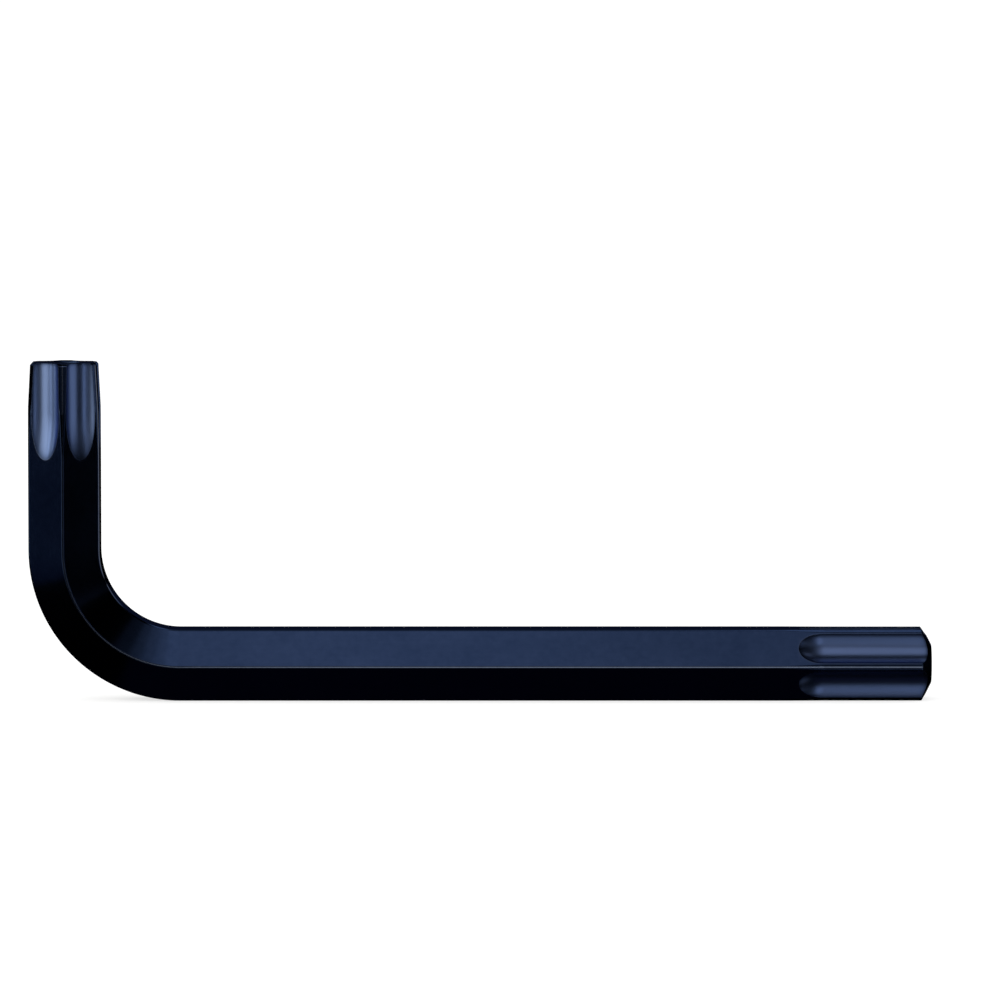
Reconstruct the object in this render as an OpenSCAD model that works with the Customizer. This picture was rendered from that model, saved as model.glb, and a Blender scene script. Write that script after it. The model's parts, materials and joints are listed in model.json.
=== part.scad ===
// Star key: an L-shaped key bent from one hexagonal steel bar, with a six-point star milled at each end.
// The long arm lies along +X on its lower flat, and the short arm stands up along +Z at the other end.
// The origin is under the middle of the key, on the surface that it rests on.

/* [Bar] */
// Width of the hexagonal bar across its flats
bar_af = 8; // [7.9:0.1:8.6]
// How far the drawn corners fall short of sharp ones, measured across the bar
corner_trim = 0.14; // [0.1:0.02:0.2]

/* [Arms] */
// Length of the key along the long arm, from the back of the bend to the end
long_l = 101.5; // [80:0.5:160]
// Height of the key along the short arm, from under the bend to the end
short_l = 38; // [34:0.5:60]
// Radius on the inside of the bend
bend_r = 9; // [6:0.5:12]

/* [Star] */
// Size of the star across two opposite points
star_d = 8.9; // [8.75:0.05:8.95]
// Size of the star across the floors of two opposite flutes
valley_d = 6.3; // [6:0.1:6.7]
// Radius of a flute's hollow side, as the milling cutter leaves it
flute_r = 2.4; // [2.2:0.1:2.5]
// Length over which the bar's corners are turned down to the star's points
turn_l = 4.5; // [2:0.5:6]

/* [Long tip] */
// Length of the flutes, with their run-out
long_flute_l = 15; // [9:0.5:25]
// Radius in which the flutes run out
long_runout_r = 5.2; // [5.2:0.2:10]
// Slope of the end's chamfer, measured from the end face
long_chamfer_deg = 27; // [15:1:40]
// Width of the flat rim that the chamfer leaves round the pin hole
long_rim = 0.2; // [0.1:0.05:0.6]

/* [Short tip] */
// Length of the flutes, with their run-out
short_flute_l = 10.8; // [9:0.2:14]
// Radius in which the flutes run out
short_runout_r = 16; // [6:1:20]
// Size across the points at the end, less than the star's because the tip tapers for easy entry
short_end_d = 8.2; // [8:0.05:8.6]
// Width of the broken edge round the end face
short_break = 0.25; // [0.1:0.05:0.5]

/* [Pin holes] */
// Diameter of the hole in each end that clears the pin of a security screw
pin_hole_d = 3.9; // [3.4:0.1:4.4]
// Depth of each hole to the shoulder of its drill point
pin_hole_l = 5; // [3:0.5:9]

/* [Hidden] */
$fn = 96;

// A hexagonal bar has six corners, and the star has a point on each
points = 6;
// The point of a standard twist drill
drill_point_deg = 118;
// Turn in which a run-out leaves the bar with room to spare
runout_turn = 60;
// How far a cutting shape passes a face that it cuts
past = 1;

bar_corner_d = bar_af / cos(180 / points) - corner_trim;
bend_outer_r = bend_r + bar_af;
short_x = -long_l / 2 + bar_af / 2;
long_z = bar_af / 2;
long_straight = long_l - bend_outer_r;
short_straight = short_l - bend_outer_r;
long_face_d = pin_hole_d + 2 * long_rim;
long_chamfer_l = (star_d - long_face_d) / 2 * tan(long_chamfer_deg);
short_face_d = short_end_d - 2 * short_break;
steel = "#232b45";

// Length in which a flute of full depth rises to the flat along a round run-out
function runout_l(r) = sqrt(r * r - pow(r - (bar_af - valley_d) / 2, 2));

// Section of the bar: flats on the inside and outside of the bend, corners trimmed by a circle
module bar_section() {
    intersection() {
        rotate(90) circle(d = bar_af / cos(180 / points), $fn = points);
        circle(d = bar_corner_d);
    }
}

// Quarter turn of the bar, from the short arm's foot to the start of the long arm
module bend() {
    translate([-long_l / 2 + bend_outer_r, 0, bend_outer_r])
        rotate([90, 0, 0])
            rotate([0, 0, 180])
                rotate_extrude(angle = 90)
                    translate([bend_r + bar_af / 2, 0]) bar_section();
}

// Solid of revolution that leaves the bar alone, then turns its corners down to the star and bevels the end
module turning(straight, full_l, end_d, face_d, bevel_l) {
    turned = straight - full_l;
    // The taper is drawn twice as long as it cuts, so that it leaves the bar through its corners
    start = turned - 2 * turn_l;
    rotate_extrude()
        polygon([
            [0, -past],
            [bar_corner_d / 2 + past, -past],
            [bar_corner_d / 2 + past, start],
            [bar_corner_d - star_d / 2, start],
            [star_d / 2, turned],
            [end_d / 2, straight - bevel_l],
            [face_d / 2, straight],
            [0, straight]
        ]);
}

// One flute: a straight groove to past the end, and a run-out that curves up through the flat
module flute(straight, full_l, runout_r) {
    translate([valley_d / 2 + flute_r, 0, straight - full_l]) cylinder(r = flute_r, h = full_l + past);
    translate([valley_d / 2 + runout_r, 0, straight - full_l])
        rotate([90, 0, 0])
            rotate([0, 0, 180])
                rotate_extrude(angle = runout_turn)
                    translate([runout_r - flute_r, 0]) circle(r = flute_r);
}

// Drilled hole with its mouth in the end face
module pin_hole(straight) {
    point_l = pin_hole_d / 2 / tan(drill_point_deg / 2);
    translate([0, 0, straight - pin_hole_l]) cylinder(d = pin_hole_d, h = pin_hole_l + past);
    translate([0, 0, straight - pin_hole_l - point_l]) cylinder(d1 = 0, d2 = pin_hole_d, h = point_l);
}

// Straight arm that stands on the end of the bend, with its finished star tip at the top
module arm(straight, flute_l, runout_r, end_d, face_d, bevel_l) {
    full_l = flute_l - runout_l(runout_r);
    difference() {
        intersection() {
            linear_extrude(straight + past) bar_section();
            turning(straight, full_l, end_d, face_d, bevel_l);
        }
        for (i = [0 : points - 1]) rotate(i * 360 / points) flute(straight, full_l, runout_r);
        pin_hole(straight);
    }
}

module star_key() {
    color(steel) {
        bend();
        translate([short_x, 0, bend_outer_r])
            arm(short_straight, short_flute_l, short_runout_r, short_end_d, short_face_d, short_break);
        translate([-long_l / 2 + bend_outer_r, 0, long_z])
            rotate([0, 90, 0])
                arm(long_straight, long_flute_l, long_runout_r, star_d, long_face_d, long_chamfer_l);
    }
}

star_key();
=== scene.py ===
# %% [markdown]
# # A star key in blued steel
# The key is one hexagonal steel bar, bent through a right angle, with a fluted six-point star milled at each end.
# This lesson dresses its CAD solid for a studio picture: a camera, a pale floor with soft light, one smooth skin
# worked out as arrays of numbers, and a procedural blued finish.

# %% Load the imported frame
import json
import math

import bpy
import numpy as np
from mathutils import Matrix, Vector


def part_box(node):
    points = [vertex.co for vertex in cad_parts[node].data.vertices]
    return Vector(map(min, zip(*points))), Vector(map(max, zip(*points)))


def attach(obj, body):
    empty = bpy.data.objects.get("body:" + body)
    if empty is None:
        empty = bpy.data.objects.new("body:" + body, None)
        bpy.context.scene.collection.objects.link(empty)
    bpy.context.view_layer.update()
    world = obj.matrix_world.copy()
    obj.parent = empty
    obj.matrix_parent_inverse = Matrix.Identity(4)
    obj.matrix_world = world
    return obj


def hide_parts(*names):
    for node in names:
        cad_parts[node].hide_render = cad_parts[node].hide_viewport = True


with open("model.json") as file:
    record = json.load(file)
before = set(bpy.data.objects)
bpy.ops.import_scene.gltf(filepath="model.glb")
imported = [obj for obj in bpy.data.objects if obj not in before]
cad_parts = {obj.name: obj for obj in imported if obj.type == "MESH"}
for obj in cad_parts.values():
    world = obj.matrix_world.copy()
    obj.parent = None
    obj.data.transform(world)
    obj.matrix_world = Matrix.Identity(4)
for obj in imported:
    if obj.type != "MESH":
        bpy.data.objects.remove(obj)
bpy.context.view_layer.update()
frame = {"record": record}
scene = bpy.context.scene
MM = 0.001

# %% [markdown]
# ## The camera
# The photograph is a side view from a little above, with straight and almost parallel lines. A short lens close up
# would spread the two arms apart, and an orthographic one would hide that the long tip is seen slightly from its
# left. A 300 mm lens, nearly a metre away, gives both the flat look and that small turn.

# %% Set up the camera
CAMERA_LENS_MM, SENSOR_MM = 300.0, 36.0
CAMERA_DISTANCE = 937.3 * MM
CAMERA_ELEVATION = math.radians(4.38)
CAMERA_AIM = Vector((2.20, 0.0, 22.46)) * MM
NEAREST_SEEN, FURTHEST_SEEN = 0.05, 20.0

camera = bpy.data.objects.new("studio_camera", bpy.data.cameras.new("studio_camera"))
scene.collection.objects.link(camera)
away = Vector((0.0, -math.cos(CAMERA_ELEVATION), math.sin(CAMERA_ELEVATION)))
camera.location = CAMERA_AIM + CAMERA_DISTANCE * away
camera.rotation_euler = away.to_track_quat("Z", "Y").to_euler()
camera.data.lens = CAMERA_LENS_MM
camera.data.sensor_width = SENSOR_MM
camera.data.clip_start, camera.data.clip_end = NEAREST_SEEN, FURTHEST_SEEN
scene.camera = camera
print("Camera at", [round(v, 4) for v in camera.location])

# %% [markdown]
# ## Floor, surroundings and softboxes
# Polished metal has no colour of its own to show: it shows what stands around it. A product photographer lights a
# dark tool with a few softboxes on black and lays it on a sheet of white plastic that is lit from below, which washes
# out the shadows. Here the floor gives back part of the white surroundings and glows for the rest, and neither is met
# by mirror rays, so the facets that face no softbox stay nearly black, as in the photograph. The standard view keeps
# white as white.

# %% White surroundings
SURROUNDINGS = 1.05

scene.view_settings.view_transform = "Standard"
world = scene.world or bpy.data.worlds.new("white_room")
scene.world = world
world.use_nodes = True
world.node_tree.nodes["Background"].inputs["Color"].default_value = (1.0, 1.0, 1.0, 1.0)
world.node_tree.nodes["Background"].inputs["Strength"].default_value = SURROUNDINGS
world.cycles_visibility.glossy = False
print("Brightness of the surroundings:", SURROUNDINGS)

# %% A pale floor that glows
FLOOR_HALF, FLOOR_DROP = 4.0, 0.02 * MM
FLOOR_PAINT, FLOOR_GLOW = 0.40, 0.66

floor_mesh = bpy.data.meshes.new("pale_floor")
corners = FLOOR_HALF * np.array([(-1, -1, 0), (1, -1, 0), (1, 1, 0), (-1, 1, 0)]) - (0, 0, FLOOR_DROP)
floor_mesh.from_pydata(corners.tolist(), [], [(0, 1, 2, 3)])
floor = bpy.data.objects.new("pale_floor", floor_mesh)
scene.collection.objects.link(floor)
paint = bpy.data.materials.new("pale_floor")
paint.use_nodes = True
sockets = paint.node_tree.nodes["Principled BSDF"].inputs
sockets["Base Color"].default_value = (FLOOR_PAINT, FLOOR_PAINT, FLOOR_PAINT, 1.0)
sockets["Roughness"].default_value = 0.9
sockets["Specular IOR Level"].default_value = 0.0
sockets["Emission Color"].default_value = (1.0, 1.0, 1.0, 1.0)
sockets["Emission Strength"].default_value = FLOOR_GLOW
floor_mesh.materials.append(paint)
floor.visible_glossy = False
floor.visible_shadow = False
print("Brightness of the floor, open:", round(SURROUNDINGS * FLOOR_PAINT + FLOOR_GLOW, 2), "and darkest:", FLOOR_GLOW)


# %% Softboxes
LIGHTS_AIM = Vector((0.0, 0.0, 0.015))


def softbox(name, azimuth, elevation, wide, high, radiance, tint=(1.0, 1.0, 1.0), distance=0.7):
    """A rectangular lamp seen from the key at this azimuth and elevation (azimuth 0 is the camera's side and 90 the
    long tip's), wide and high in degrees. Its sides are twice the distance times the tangent of half the angle, and
    its power is radiance times pi times its area, so radiance is how bright it looks. Where boxes overlap, each
    stands at its own distance, because of lamps at the same distance only one is seen."""
    a, e = math.radians(azimuth), math.radians(elevation)
    way = Vector((math.sin(a) * math.cos(e), -math.cos(a) * math.cos(e), math.sin(e)))
    width, height = (2 * distance * math.tan(math.radians(angle) / 2) for angle in (wide, high))
    lamp = bpy.data.lights.new(name, "AREA")
    lamp.shape, lamp.size, lamp.size_y = "RECTANGLE", width, height
    lamp.color, lamp.energy = tint, radiance * math.pi * width * height
    box = bpy.data.objects.new(name, lamp)
    scene.collection.objects.link(box)
    box.location = LIGHTS_AIM + distance * way
    box.rotation_euler = way.to_track_quat("Z", "Y").to_euler()
    box.visible_camera = False
    return box


SOFTBOXES = [
    softbox("overhead_core", -4, 50, 8, 45, 0.24, distance=0.64),
    softbox("overhead_inner", -2, 50, 16, 45, 0.22, distance=0.67),
    softbox("overhead_middle", 0, 50, 25, 45, 0.22, distance=0.70),
    softbox("overhead_outer", 0, 50, 36, 45, 0.18, distance=0.73),
    softbox("overhead_rim", 0, 50, 52, 45, 0.07, distance=0.76),
    softbox("front_low", 0, -26, 30, 23, 0.23, tint=(0.9, 0.95, 1.0)),
    softbox("front_gap", 3, -6, 16, 8, 0.27, tint=(0.84, 0.92, 1.0)),
    softbox("front_high", 0, 13.5, 30, 15, 0.26),
    softbox("front_right", 15, -4, 8, 36, 1.25, tint=(0.85, 0.92, 1.0), distance=0.74),
    softbox("left_front", -41, 9, 34, 42, 1.5, tint=(1.0, 0.96, 0.82), distance=0.78),
    softbox("left_front_low", -42, -18, 26, 12, 0.3),
    softbox("left_high", -64.6, 22, 26, 40, 1.0, tint=(1.0, 0.96, 0.82), distance=0.66),
    softbox("left", -77, 19, 13, 54, 1.6, tint=(0.94, 0.96, 0.90), distance=0.74),
    softbox("left_back", -102, 19, 12, 54, 1.35, tint=(0.94, 0.96, 0.90), distance=0.74),
    softbox("left_low", -64.6, -5, 12, 20, 0.08, tint=(0.5, 0.65, 1.0)),
    softbox("right", 86, -2, 52, 32, 0.6, tint=(0.90, 0.95, 1.0)),
    softbox("right_edge", 118, 0, 8, 30, 0.30),
    softbox("back", 180, 9, 60, 18, 0.025, tint=(0.25, 0.38, 1.0)),
    softbox("overhead_back", 174, 66, 22, 26, 0.34),
    softbox("overhead_tip", 157, 60, 12, 18, 0.70, distance=0.74),
    softbox("below", 0, -66, 50, 20, 0.02, tint=(0.5, 0.4, 1.0)),
    softbox("side_right", 40, 13, 20, 16, 0.10, distance=0.78),
    softbox("right_high", 90, 54, 16, 14, 0.30),
    softbox("right_low", 100, -46, 30, 20, 0.15),
    softbox("back_right", 130, 30, 30, 18, 0.5),
    softbox("back_right_low", 135, -30, 30, 16, 0.18),
    softbox("back_left", -135, 25, 26, 20, 0.25),
    softbox("back_low", 196, -18, 24, 14, 0.18),
    softbox("left_below", -94, -50, 30, 24, 0.15),
]
print("Softboxes:", len(SOFTBOXES))

# %% [markdown]
# ## The key's sizes
# The frame already says how long, how tall and how thick the key is, and how wide and deep its pin holes are. The
# sizes of the tips are those of the CAD model, in millimetres. Each tip is a few numbers, so both tips can be made by
# the same functions.

# %% Sizes of the bar and of the two tips
low, high = (np.array(corner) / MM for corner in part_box("star_key"))
LONG, SHORT, CORNERS = high[0] - low[0], high[2] - low[2], high[1] - low[1]
HOLE = next(m["dims"] for m in frame["record"]["mounts"] if m["name"] == "long_pin_hole")
HOLE_R, HOLE_DEEP, DRILL_POINT = HOLE["r_mm"], HOLE["length_mm"], math.radians(118)
FLATS = 8.0
BEND_IN = 9.0
BEND_OUT, BEND_MID = BEND_IN + FLATS, BEND_IN + FLATS / 2
STAR_R, FLOOR_R, FLUTE_R, TURN_L = 4.45, 3.15, 2.4, 4.5
LONG_RIM = 0.2

TIPS = {
    "short": dict(straight=SHORT - BEND_OUT, flute=10.8, runout=16.0, end_r=4.10, bevel=0.25, face_r=3.85),
    "long": dict(straight=LONG - BEND_OUT, flute=15.0, runout=5.2, end_r=STAR_R, bevel=1.172, face_r=HOLE_R + LONG_RIM),
}
for tip in TIPS.values():
    # A flute of full depth rises to the flat along the cutter's circle: Pythagoras gives that length.
    tip["rise"] = math.sqrt(tip["runout"] ** 2 - (tip["runout"] - (FLATS / 2 - FLOOR_R)) ** 2)
    tip["full"] = tip["straight"] - tip["flute"] + tip["rise"]
print("Key in mm:", LONG.round(2), "x", SHORT.round(2), "and", CORNERS.round(3), "over its corners")
print("Run-outs in mm:", {name: round(tip["rise"], 2) for name, tip in TIPS.items()})

# %% [markdown]
# ## Surfaces as distances
# A milled tip could be cut with Boolean modifiers, but their edges come out razor sharp, and real edges are a little
# round and catch the light. Here each surface that bounds the steel is a formula for how far a point lies outside
# it: less than nothing is steel. Where two surfaces meet, a rounded maximum of the two formulas rounds the edge by
# itself. A point is given by its distance from the bar's axis, its angle from the outer flat, and its place along
# the arm.


# %% How far a point lies outside each surface
FAR = 9.0


def from_flat(angle):
    """Angle to the middle of the nearest flat. The six flats are 60 degrees apart, so it folds into -30 to 30."""
    return np.mod(angle + np.pi / 6, np.pi / 3) - np.pi / 6


def outside_flats(radius, angle):
    """Past the nearest flat, and past the next one: the radius times the cosine of the angle from the flat's middle,
    less half the size over the flats."""
    near = np.abs(from_flat(angle))
    return [radius * np.cos(near) - FLATS / 2, radius * np.cos(np.pi / 3 - near) - FLATS / 2]


def outside_turned(radius, place, tip):
    """Past the turned profile. The bar's corners are trimmed by a circle, they narrow to the star's points over the
    turning length, and the points may taper to the end: a line through four points, the last of them far past the end.
    The bend has the circle alone."""
    if tip is None:
        return radius - CORNERS / 2
    stops = [tip["full"] - TURN_L, tip["full"], tip["straight"] - tip["bevel"], tip["straight"] + FAR]
    slope = (tip["end_r"] - STAR_R) / (stops[2] - stops[1])
    sizes = [CORNERS / 2, STAR_R, tip["end_r"], tip["end_r"] + FAR * slope]
    return radius - np.interp(place, stops, sizes)


def outside_bevel(radius, place, tip):
    """Past the bevel's cone, measured square to it: the dot product with the cone's own direction."""
    run, drop = tip["end_r"] - tip["face_r"], tip["bevel"]
    return ((radius - tip["face_r"]) * drop + (place - tip["straight"]) * run) / math.hypot(run, drop)


def outside_flutes(radius, angle, place, tip):
    """Inside a flute is outside the steel. The straight flute is a cylinder beside the bar. Before it, the cutter's
    round edge sweeps part of a ring: its tube is as thick as the flute, and its middle line is a circle about the
    cutter's centre. The distance is the tube's radius less the distance to that middle line."""
    turn = from_flat(angle)
    x, y = radius * np.cos(turn), radius * np.sin(turn)
    back = np.minimum(place - tip["full"], 0)
    centre, ring = FLOOR_R + tip["runout"], tip["runout"] - FLUTE_R
    return FLUTE_R - np.hypot(np.hypot(centre - x, back) - ring, y)


past_flats = outside_flats(FLATS / 2, 0.0)
print("On the middle of a flat, past it and past the next one in mm:", [round(float(past), 3) for past in past_flats])

# %% [markdown]
# The rounded maximum is the logarithm of the summed exponentials. Far from an edge it equals the largest distance,
# and near an edge it bends smoothly from one surface to the other, over a width set by one number. The share of each
# exponential in the sum says which surface made the spot, which later tells the finish where the steel is drawn,
# milled, turned or worn.


# %% The rounded maximum and its shares
def rounded_max(distances, width):
    """width times the logarithm of the sum of exp(distance / width)."""
    stack = np.stack(distances) / width
    top = stack.max(0)
    return width * (top + np.log(np.exp(stack - top).sum(0)))


def shares(distances, width):
    """Each exponential over their sum, so that they add up to one."""
    stack = np.stack(distances) / width
    parts = np.exp(stack - stack.max(0))
    return parts / parts.sum(0)


TURNED, BEVEL, FACE, HOLE_WALL, FLUTE = range(2, 7)


def steel(radius, angle, place, tip, fluted=True):
    """All the distances: flat, next flat and turned profile, and for a tip also bevel, end face, pin hole and flute.
    The names above are the places of the last five in that list."""
    found = outside_flats(radius, angle) + [outside_turned(radius, place, tip)]
    if tip is None:
        return found
    found += [
        outside_bevel(radius, place, tip),
        place - tip["straight"],
        np.where(place > tip["straight"] - HOLE_DEEP, HOLE_R - radius, -FAR),
    ]
    return found + [outside_flutes(radius, angle, place, tip)] if fluted else found


# The second width sets the light line on flute and bevel edges, partly wear and partly a painted highlight.
EDGE_WIDTH, WEAR_AND_HIGHLIGHT_WIDTH, FADE_WIDTH = 0.004, 0.02, 0.12
print("Steel taken off where two surfaces meet, in mm:", rounded_max(np.zeros((2, 1)), EDGE_WIDTH).round(4))

# %% [markdown]
# ## From distances to a skin
# The skin is one grid. Its columns run round the bar and its rows along it. For each grid point a ray leaves a
# starting place inside the steel, and halving its length again and again finds where the distance is nothing. The
# rays start on a ring inside the wall, between the pin hole and the flutes. Along the arms they point straight out,
# and round an end they fan out over the bevel, the end face and into the hole, so no edge there cuts across the grid.


# %% Find the skin along rays
RING_R, RING_BACK, SKIN_HALVINGS = 2.5, 1.6, 44


def surface_along(rays, tip, fluted=True, reach=4.0):
    """rays is (radius, place, radial step, place step, angle), as arrays that broadcast. So many halvings of the reach
    leave far less than a nanometre."""
    radius, place, out, along, angle = np.broadcast_arrays(*rays)
    near, far = np.zeros(radius.shape), np.full(radius.shape, reach)
    for _ in range(SKIN_HALVINGS):
        mid = (near + far) / 2
        inside = rounded_max(steel(radius + mid * out, angle, place + mid * along, tip, fluted), EDGE_WIDTH) < 0
        near, far = np.where(inside, mid, near), np.where(inside, far, mid)
    return radius + near * out, place + near * along


across = surface_along((RING_R, 0.0, 1.0, 0.0, np.array([0, np.pi / 6])), None)[0] * 2
print("Plain bar over its flats and over its corners in mm:", across.round(3))

# %% [markdown]
# A sharp edge that crosses a grid at a slant looks like a saw blade. So the columns bend to follow the edges that run
# along the key: the flutes' edges, and the shoulders where a flat meets the corner strip. On each row, halving the
# angle finds where the flute meets the rest of the steel. Some columns share the flute, some the flat beside it, and
# some the corner, crowding up to each edge.


# %% Where the edges lie
EDGE_HALVINGS = 24


def edges_along(rays, tip):
    """On each row, the angles from the flat's middle to the flute's edge and to the shoulder. At less than the edge's
    angle, the point found without the flutes lies inside a flute. The shoulder's cosine is half the size over the flats
    over the radius at the corner."""
    low, high = np.zeros(len(rays[1])), np.full(len(rays[1]), np.pi / 6)
    for _ in range(EDGE_HALVINGS):
        mid = (low + high) / 2
        radius, place = surface_along((*rays, mid), tip, fluted=False)
        cut = outside_flutes(radius, mid, place, tip) > 0
        low, high = np.where(cut, mid, low), np.where(cut, high, mid)
    corner_radius, _ = surface_along((*rays, np.pi / 6), tip, fluted=False)
    return low, np.arccos(np.minimum(FLATS / 2 / corner_radius, 1))


PLAIN_SHOULDER = math.acos(FLATS / CORNERS)
print("Shoulder of the plain bar in degrees:", round(math.degrees(PLAIN_SHOULDER), 2))

# %% Columns that follow the edges
IN_FLUTE = 9
LEAST_FLUTE, LEAST_FLAT, MOST_SHOULDER = np.radians(4), np.radians(0.4), np.radians(29)
BY_EDGE, BY_EDGE_SHARES = np.radians([0, 0.12, 0.45, 1.4, 4.0]), np.array([0, 0.08, 0.20, 0.33, 0.45])
BY_CORNER, BY_CORNER_SHARES = np.radians([0, 0.12, 0.40, 9, 9]), np.array([0, 0.08, 0.27, 0.55, 0.80])
EVEN_SHARES = np.arange(5) / 9


def columns(edge, shoulder, even=False):
    """Angles of every column for rows with these edges, with room for at least a narrow flute and flat. In the flute
    the steps shrink towards the edge as a square does. On the flat and on the corner the columns beside an edge keep
    their angles from it, or their shares of the room where there is less. On an end nothing is flat, so there even
    divides the flat's room evenly."""
    edge = np.maximum(edge, LEAST_FLUTE)[:, None]
    shoulder = np.clip(shoulder[:, None], edge + LEAST_FLAT, MOST_SHOULDER)
    flat, corner = shoulder - edge, np.pi / 6 - shoulder
    in_flute = edge * (1 - (1 - np.arange(IN_FLUTE) / IN_FLUTE) ** 2)
    beside = EVEN_SHARES * flat if even else np.minimum(BY_EDGE, BY_EDGE_SHARES * flat)
    on_corner = np.minimum(BY_CORNER, BY_CORNER_SHARES * corner)
    half = np.concatenate([in_flute, edge + beside, shoulder - beside[:, :0:-1], shoulder + on_corner], axis=1)
    sector = np.concatenate([half, 0 * edge + np.pi / 6, np.pi / 3 - half[:, :0:-1]], axis=1)
    return (sector[:, None, :] + np.pi / 3 * np.arange(6)[None, :, None]).reshape(len(edge), -1)


print("Columns:", columns(np.zeros(1), np.zeros(1)).shape[1])


# %% [markdown]
# The rows stand close where a flute runs out, because its edge curves there, and wide apart where the bar is plain. On
# an end they follow the bevel's profile, so that each sharp corner of the profile gets a row of its own.


# %% Rows along an arm
def spaced(*legs):
    """Places along legs of (start, end, step): each leg is divided evenly into steps of about that size."""
    parts = [np.linspace(a, b, max(int(round(abs(b - a) / step)), 1), endpoint=False) for a, b, step in legs]
    return np.concatenate(parts + [[legs[-1][1]]])


LEAD, BY_CUT, PAST_RISE = 2.1, 0.35, 0.05
LEAD_STEP, CUT_STEP, STRAIGHT_STEP = 0.5, 0.05, 0.7
STEPS = {"long": (3.0, 0.12, 0.08), "short": (1.5, 0.16, 0.09)}
for name, (plain_step, runout_step, fan_step) in STEPS.items():
    tip = TIPS[name]
    tip["fan_step"], cut = fan_step, tip["full"] - tip["rise"]
    tip["rows"] = spaced(
        (0, cut - LEAD, plain_step),
        (cut - LEAD, cut - BY_CUT, LEAD_STEP),
        (cut - BY_CUT, cut + BY_CUT, CUT_STEP),
        (cut + BY_CUT, tip["full"] + PAST_RISE, runout_step),
        (tip["full"] + PAST_RISE, tip["straight"] - RING_BACK, STRAIGHT_STEP),
    )
print("Rows along the arms:", {name: len(tip["rows"]) for name, tip in TIPS.items()})


# %% Rows that fan out over an end
BY_FLOOR, HOLE_STEP = np.array([0.045, 0.018, -0.004]), 0.25


def fan(tip):
    """Directions from the ring inside the wall to places evenly spaced along the outline of a star's point: up the
    point's side, down the bevel, across the rim and down the hole. Three extra places stand where the flute's floor
    meets the end, because its edge turns fastest there. Gives cosines and sines."""
    top, deep, near_floor = tip["straight"], tip["straight"] - RING_BACK, FLOOR_R + BY_FLOOR
    radii = np.array(sorted([tip["end_r"], *near_floor, tip["face_r"], HOLE_R], reverse=True))
    steep = tip["bevel"] / (tip["end_r"] - tip["face_r"])
    places = top - steep * np.maximum(radii - tip["face_r"], 0)
    outline = np.array([(tip["end_r"], deep), *zip(radii, places), (HOLE_R, deep)])
    lengths = np.hypot(*np.diff(outline, axis=0).T)
    ends = np.concatenate([[0], np.cumsum(lengths)])
    steps = [tip["fan_step"]] * (len(lengths) - 1) + [HOLE_STEP]
    walked = spaced(*zip(ends[:-1], ends[1:], steps))
    turn = np.arctan2(np.interp(walked, ends, outline[:, 1]) - deep, np.interp(walked, ends, outline[:, 0]) - RING_R)
    return np.cos(turn[1:]), np.sin(turn[1:])


print("Rows over the ends:", {name: len(fan(tip)[0]) for name, tip in TIPS.items()})

# %% One arm as a grid
WALL_ROWS = 6


def arm_grid(tip):
    """Rows from the bend to the bottom of the pin hole, as the radius, place and angle of each point. The hole's wall
    is a cylinder and its bottom a cone that closes on the axis, with as many rows each."""
    out, along = fan(tip)
    start, body = tip["straight"] - RING_BACK, np.ones(len(tip["rows"]))
    rays = (
        RING_R,
        np.concatenate([tip["rows"], 0 * out + start]),
        np.concatenate([body, out]),
        np.concatenate([0 * body, along]),
    )
    edge, shoulder = edges_along(rays, tip)
    on_arm, last = np.arange(len(edge)) < len(body), shoulder[len(body) - 1]
    angle = np.concatenate(
        [columns(edge[on_arm], shoulder[on_arm]), columns(edge[~on_arm], 0 * edge[~on_arm] + last, even=True)]
    )
    radius, place = surface_along((RING_R, *[ray[:, None] for ray in rays[1:]], angle), tip)
    wall = np.linspace(start, tip["straight"] - HOLE_DEEP, WALL_ROWS + 1)[1:]
    cone = HOLE_R * np.linspace(1, 0, WALL_ROWS + 1)[1:]
    bottom = tip["straight"] - HOLE_DEEP - (HOLE_R - cone) / math.tan(DRILL_POINT / 2)
    hole_radius, hole_place = np.concatenate([0 * wall + HOLE_R, cone]), np.concatenate([wall, bottom])
    hole_angle = np.repeat(angle[-1:], len(hole_radius), axis=0)
    radius = np.concatenate([radius, hole_radius[:, None] + 0 * hole_angle])
    place = np.concatenate([place, hole_place[:, None] + 0 * hole_angle])
    return radius, place, np.concatenate([angle, hole_angle])


GRIDS = {name: arm_grid(tip) for name, tip in TIPS.items()}
print("Rows and columns of the arms:", {name: grid[0].shape for name, grid in GRIDS.items()})

# %% [markdown]
# Smooth shading needs a direction at every point. It is worked out from the same distances: they grow fastest
# straight out of the steel, so a tiny step in each direction measures their slope. That shades the rounded edges
# right even where only two or three rows cross them.


# %% Directions
def slopes(radius, angle, place, tip, step=1e-4):
    """The rise of the rounded distance per step outwards (along the outer flat's direction), sideways and along the
    arm, brought to length one."""
    x, y = radius * np.cos(angle), radius * np.sin(angle)

    def height(dx, dy, dz):
        return rounded_max(steel(np.hypot(x + dx, y + dy), np.arctan2(y + dy, x + dx), place + dz, tip), EDGE_WIDTH)

    rise = np.stack([height(*move) - height(*-move) for move in step * np.eye(3)], -1)
    return rise / np.linalg.norm(rise, axis=-1, keepdims=True)


print("Direction on the outer flat:", slopes(np.array([FLATS / 2]), np.zeros(1), np.zeros(1), None)[0].round(3) + 0)

# %% Shares of the finishes
MARKS = ("milled", "thin", "turned", "faced", "drilled", "rubbed", "edged")
# Width of the light line along the corners: partly wear, partly a painted highlight line.
RUB_AND_HIGHLIGHT_WIDTH = np.radians(0.6)


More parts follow.
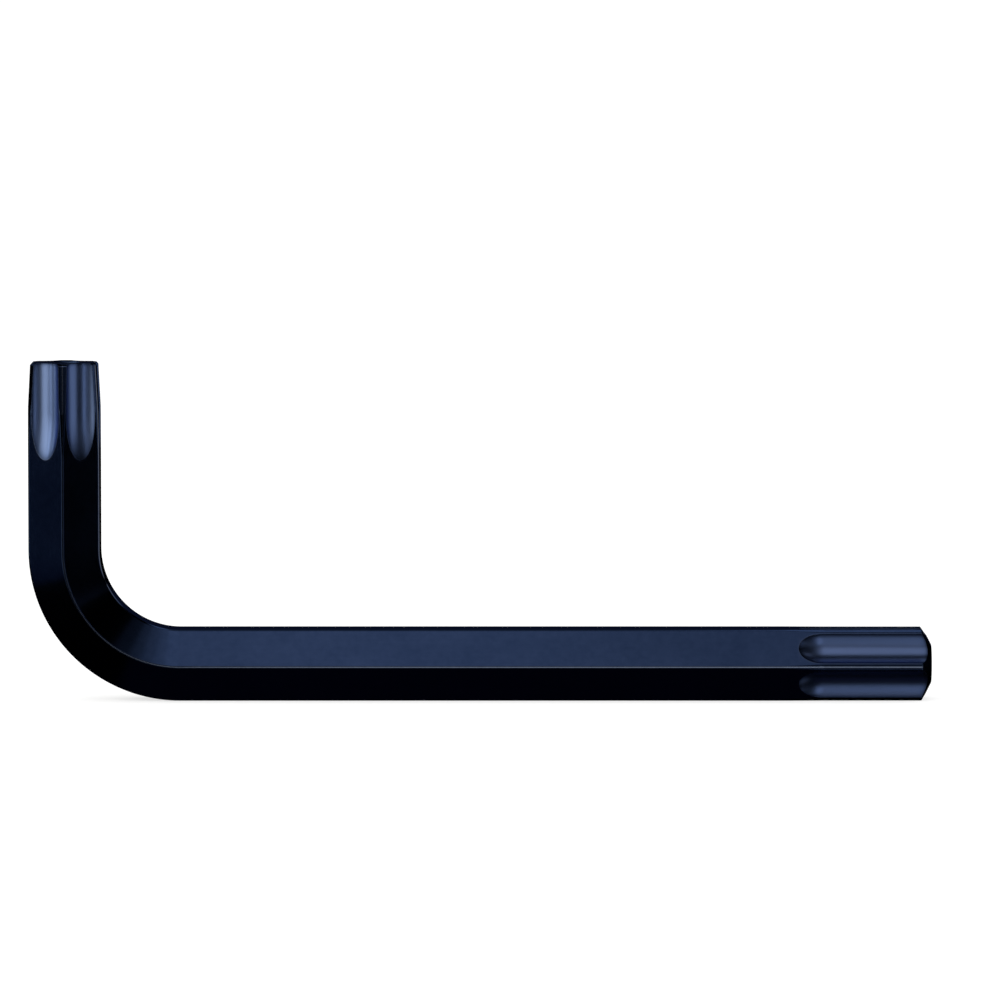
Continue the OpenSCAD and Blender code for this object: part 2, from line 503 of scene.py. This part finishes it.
def made_by(radius, angle, place, tip, front, inner):
    """Shares of the finishes at each point. Milled, turned, faced and drilled are shares of the surfaces. Thin is how
    thin the oxide is in a flute: nothing at its edge and 1 a few tenths of a millimetre in. Rubbed is a narrow light
    line along the corners, by the share front on the two widest corners and inner on the two inside the bend; it is
    partly wear and partly a painted highlight line, set per arm to where highlight lines show. Edged is 1 where a flute
    or bevel
    shares a spot evenly with its neighbour: four times the share times what is left of 1, over a wider rounding; its
    light line is partly edge wear and partly a painted highlight."""
    distances = steel(radius, angle, place, tip)
    part = shares(distances, EDGE_WIDTH)
    corner = (np.pi / 6 - np.abs(from_flat(angle))) / RUB_AND_HIGHLIGHT_WIDTH
    # Painted highlight line along the corners, partly also wear, strongest on the corners where highlight lines are
    # wanted.
    rubbed = part[TURNED] * np.exp(-(corner**2)) * np.where(np.cos(angle) < -0.5, inner, front * np.sin(angle) ** 4)
    if tip is None:
        return np.stack([rubbed if mark == "rubbed" else 0 * rubbed for mark in MARKS], -1)
    turned = part[TURNED] * np.clip((place - tip["full"]) / TURN_L + 1, 0, 1)
    wear_and_highlight_shares = shares(distances, WEAR_AND_HIGHLIGHT_WIDTH)
    # A lighter line where a flute or bevel meets its neighbour: partly edge wear, partly a painted highlight.
    edged = 4 * wear_and_highlight_shares[FLUTE] * (1 - wear_and_highlight_shares[FLUTE]) + 4 * wear_and_highlight_shares[BEVEL] * (1 - wear_and_highlight_shares[BEVEL])
    thin = np.clip(2 * shares(distances, FADE_WIDTH)[FLUTE] - 1, 0, 1)
    faced = part[BEVEL] + part[FACE]
    return np.stack([part[FLUTE], thin, turned, faced, part[HOLE_WALL], rubbed, np.minimum(edged, 1)], -1)


# %% Short arm, bend and long arm in the frame
# Per arm, how strong the painted highlight line is on the front and inner corners; it also stands for wear.
RUB_AND_HIGHLIGHT = {"short": dict(front=0.25, inner=0.8), "long": dict(front=1.0, inner=0.0)}


def arm(name):
    """An arm's points, directions, finish shares and straightened places, in millimetres. It is made upright about
    its own axis, and then each of its three directions is given its direction in the frame."""
    tip, (radius, place, angle) = TIPS[name], GRIDS[name]
    # In the hole the direction is towards the axis, and on the drill's cone it also leans to the mouth.
    hole = -2 * WALL_ROWS
    lean = np.repeat([0.0, math.sin(DRILL_POINT / 2)], WALL_ROWS)[:, None] + 0 * angle[hole:]
    inwards = -np.sqrt(1 - lean**2)
    in_hole = np.stack([inwards * np.cos(angle[hole:]), inwards * np.sin(angle[hole:]), lean], -1)
    normal = np.concatenate([slopes(radius[:hole], angle[:hole], place[:hole], tip), in_hole])
    finish = made_by(radius, angle, place, tip, **RUB_AND_HIGHLIGHT[name])
    finish[hole:] = [mark == "drilled" for mark in MARKS]
    base, outward, along = {
        "short": ((-LONG / 2 + FLATS / 2, 0, BEND_OUT), (-1, 0, 0), (0, 0, 1)),
        "long": ((-LONG / 2 + BEND_OUT, 0, FLATS / 2), (0, 0, -1), (1, 0, 0)),
    }[name]
    axes = np.array([outward, (0, 1, 0), along], float)
    local = np.stack([radius * np.cos(angle), radius * np.sin(angle), place], -1)
    sign, start = (-1, 0) if name == "short" else (1, BEND_MID * np.pi / 2)
    unrolled = local * (1, 1, sign) + (0, 0, start)
    return [np.array(base) + local @ axes, normal @ axes, finish, unrolled]


def bend(rows=48):
    """The quarter turn: the bar's section carried round the bend's centre, without its first and last rows. The
    light line on the corners, partly wear and partly a painted highlight line, passes from the short arm's to the long
    arm's, over the whole turn in front and its first half inside."""
    turn = np.linspace(0, np.pi / 2, rows + 2)[1:-1, None]
    angle = columns(np.zeros(rows), np.full(rows, PLAIN_SHOULDER))
    radius, _ = surface_along((RING_R, 0.0, 1.0, 0.0, angle), None)
    # The painted highlight line on the corners passes from one arm's strength to the other's.
    passed = {"front": turn / (np.pi / 2), "inner": np.minimum(turn / (np.pi / 4), 1)}
    rub_and_highlight = {side: RUB_AND_HIGHLIGHT["short"][side] + (RUB_AND_HIGHLIGHT["long"][side] - RUB_AND_HIGHLIGHT["short"][side]) * passed[side] for side in passed}
    normal = slopes(radius, angle, 0 * radius, None)
    finish = made_by(radius, angle, 0 * radius, None, **rub_and_highlight)
    outward = np.stack([-np.cos(turn), 0 * turn, -np.sin(turn)], -1)
    side = np.array([0.0, 1.0, 0.0])
    reach, across = radius * np.cos(angle), radius * np.sin(angle)
    centre = np.array([-LONG / 2 + BEND_OUT, 0, BEND_OUT])
    points = centre + (BEND_MID + reach)[..., None] * outward + across[..., None] * side
    normals = normal[..., :1] * outward + normal[..., 1:2] * side
    unrolled = np.stack([reach, across, BEND_MID * turn + 0 * reach], -1)
    return [points, normals, finish, unrolled]


short_arm, long_arm = [grid[::-1] for grid in arm("short")], arm("long")
POINTS, NORMALS, FINISH, UNROLLED = (np.concatenate(parts) for parts in zip(short_arm, bend(), long_arm))
print("Grid:", POINTS.shape[:2], "box in mm:", POINTS.min((0, 1)).round(3), POINTS.max((0, 1)).round(3))

# %% [markdown]
# ## The grid as a mesh
# Both ends of the grid close on the axis at the bottom of a hole, so the first and last rows become one point each,
# joined by triangles. Every cell between them is a four-sided face, and the last column joins the first. The corners
# are listed so that faces point out of the steel.


# %% Faces of the closed skin
def skin_faces(rows, columns):
    """Faces of a tube whose first and last rows are single points, numbered 0 and last. Middle row r, column c is
    point 1 + r * columns + c."""
    ring = 1 + np.arange((rows - 2) * columns).reshape(rows - 2, columns)
    after = np.roll(ring, -1, axis=1)
    quads = np.stack([ring[:-1], after[:-1], after[1:], ring[1:]], -1).reshape(-1, 4)
    last = 1 + (rows - 2) * columns
    first_cap = np.stack([0 * ring[0], after[0], ring[0]], -1)
    last_cap = np.stack([0 * ring[0] + last, ring[-1], after[-1]], -1)
    return quads.tolist() + first_cap.tolist() + last_cap.tolist()


def skin_points(grid):
    """The grid's points in the order that skin_faces numbers them."""
    return np.concatenate([grid[:1, 0], grid[1:-1].reshape(-1, grid.shape[-1]), grid[-1:, 0]])


key_mesh = bpy.data.meshes.new("key_steel")
key_mesh.from_pydata((skin_points(POINTS) * MM).tolist(), [], skin_faces(*POINTS.shape[:2]))
key_mesh.validate()
key = bpy.data.objects.new("key_steel", key_mesh)
scene.collection.objects.link(key)
key_mesh.polygons.foreach_set("use_smooth", np.ones(len(key_mesh.polygons), bool))

directions = skin_points(NORMALS)
directions[0], directions[-1] = (0, 0, 1), (1, 0, 0)
key_mesh.normals_split_custom_set_from_vertices(directions.tolist())
triangles = sum(len(p.vertices) - 2 for p in key_mesh.polygons)
print("Skin:", len(key_mesh.vertices), "points,", triangles, "triangles")

# %% Finish shares and straightened places as attributes
for mark, values in zip(MARKS, skin_points(FINISH).T):
    layer = key_mesh.attributes.new(mark, "FLOAT", "POINT")
    layer.data.foreach_set("value", values.astype(np.float32))
layer = key_mesh.attributes.new("unrolled", "FLOAT_VECTOR", "POINT")
layer.data.foreach_set("vector", skin_points(UNROLLED).astype(np.float32).ravel())
print("Attributes:", MARKS, "cover on average", FINISH.mean((0, 1)).round(3))

# %% [markdown]
# ## Shader sums in plain Python
# A material is a web of small sums. Wrapping a socket in a class with its own plus and times lets a finish be written
# as a formula, such as 0.7 + mottle * 0.6, and each sign adds its Math node. Everything that isn't a sum on numbers
# comes from one method, node().


# %% A socket that can be added and multiplied
class Value:
    """A number that a shader works out at each spot."""

    def __init__(self, finish, socket):
        self.finish, self.socket = finish, socket

    def sum(self, operation, *numbers):
        return self.finish.node("Math", {"operation": operation}, dict(enumerate(numbers)))

    def __add__(self, other):
        return self.sum("ADD", self, other)

    def __mul__(self, other):
        return self.sum("MULTIPLY", self, other)

    __radd__, __rmul__ = __add__, __mul__


class Finish:
    """A material made of nodes."""

    def __init__(self, name):
        self.material = bpy.data.materials.new(name)
        self.material.use_nodes = True
        self.tree = self.material.node_tree
        self.shader = self.tree.nodes["Principled BSDF"]

    def put(self, socket, value):
        """Links a Value to a socket, or writes a plain number or colour on it."""
        if isinstance(value, Value):
            self.tree.links.new(value.socket, socket)
        else:
            socket.default_value = value

    def node(self, kind, settings=None, sockets=None, out=0):
        """A new node of this kind. Its settings are made first, because some of them change its sockets, and then its
        sockets get their values or links."""
        made = self.tree.nodes.new("ShaderNode" + kind)
        for name, value in (settings or {}).items():
            setattr(made, name, value)
        for name, value in (sockets or {}).items():
            self.put(made.inputs[name], value)
        return Value(self, made.outputs[out])

    def mix(self, share, first, second):
        """A colour between two, by share."""
        return self.node("Mix", {"data_type": "RGBA"}, {0: share, 6: first, 7: second}, out=2)

    def attribute(self, name, out="Fac"):
        return self.node("Attribute", {"attribute_name": name}, out=out)


# %% [markdown]
# ## Blued steel
# Bluing is a thin black oxide with a blue sheen, grown on bare steel in a hot bath. The bar's drawn flats are dark
# and glossy with faint mottling. The milled flutes took the oxide more thinly, so they show paler. The corners and the
# flute edges get a fine light line in the colour: partly handling wear where the steel shines through, and partly a
# painted highlight line.

# %% The blued finish
blued = Finish("blued_steel")
bar = blued.attribute("unrolled", "Vector")
milled, thin, turned, faced, drilled, rubbed, edged = (blued.attribute(name) for name in MARKS)

cloud = blued.node("TexNoise", sockets={"Vector": bar, "Scale": 0.16, "Detail": 2.0, "Roughness": 0.5})
mottle = blued.node("TexNoise", sockets={"Vector": bar, "Scale": 1.3, "Detail": 4.0, "Roughness": 0.6})
grain = blued.node("TexNoise", sockets={"Vector": bar, "Scale": 7.0, "Detail": 3.0, "Roughness": 0.6})
drawn = blued.node("VectorMath", {"operation": "MULTIPLY"}, {0: bar, 1: (5.0, 5.0, 0.06)})
streak = blued.node("TexNoise", sockets={"Vector": drawn, "Scale": 1.0, "Detail": 3.0, "Roughness": 0.6})
section = blued.node("VectorMath", {"operation": "MULTIPLY"}, {0: bar, 1: (1.0, 1.0, 0.0)})
from_axis = blued.node("VectorMath", {"operation": "LENGTH"}, {0: section}, out=1)
along = blued.node("SeparateXYZ", sockets={0: bar}, out=2)
ring = blued.node("TexNoise", {"noise_dimensions": "1D"}, {"W": from_axis + along, "Scale": 9.0, "Detail": 2.0})

OXIDE, OXIDE_LIGHT = (0.006, 0.016, 0.047, 1.0), (0.043, 0.068, 0.150, 1.0)
MILLED, BRIGHT = (0.152, 0.218, 0.432, 1.0), (0.64, 0.70, 0.86, 1.0)
GRAZING_TINT = (0.50, 0.56, 0.74, 1.0)
RELIEF_DEPTH = 0.0000006

shade = cloud * 0.35 + mottle * 0.35 + grain * 0.20 + streak * 0.10
oxide = blued.mix(shade, OXIDE, OXIDE_LIGHT)
colour = blued.mix(thin, oxide, MILLED)
# A faint light line on the flute and bevel edges: partly edge wear, partly a painted highlight.
colour = blued.mix(edged * 0.04, colour, BRIGHT)
# A fine light line along the chosen corners: partly handling wear, partly a painted highlight line.
colour = blued.mix(rubbed * (0.7 + mottle * 0.6), colour, BRIGHT)
blued.put(blued.shader.inputs["Base Color"], colour)
blued.put(blued.shader.inputs["Roughness"], 0.09 + shade * 0.08 + milled * 0.20 + drilled * 0.30)
blued.put(blued.shader.inputs["Metallic"], 1.0)
blued.put(blued.shader.inputs["Specular Tint"], GRAZING_TINT)
relief = grain * 0.6 + streak * 0.4 + ring * (turned + faced + drilled) * 1.6
bump = blued.node("Bump", sockets={"Strength": 1.0, "Distance": RELIEF_DEPTH, "Height": relief})
blued.put(blued.shader.inputs["Normal"], bump)
key_mesh.materials.append(blued.material)
print("Nodes in the finish:", len(blued.tree.nodes))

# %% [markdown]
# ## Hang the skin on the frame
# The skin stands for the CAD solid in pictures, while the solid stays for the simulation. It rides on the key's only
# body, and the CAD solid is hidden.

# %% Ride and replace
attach(key, "root")
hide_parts("star_key")
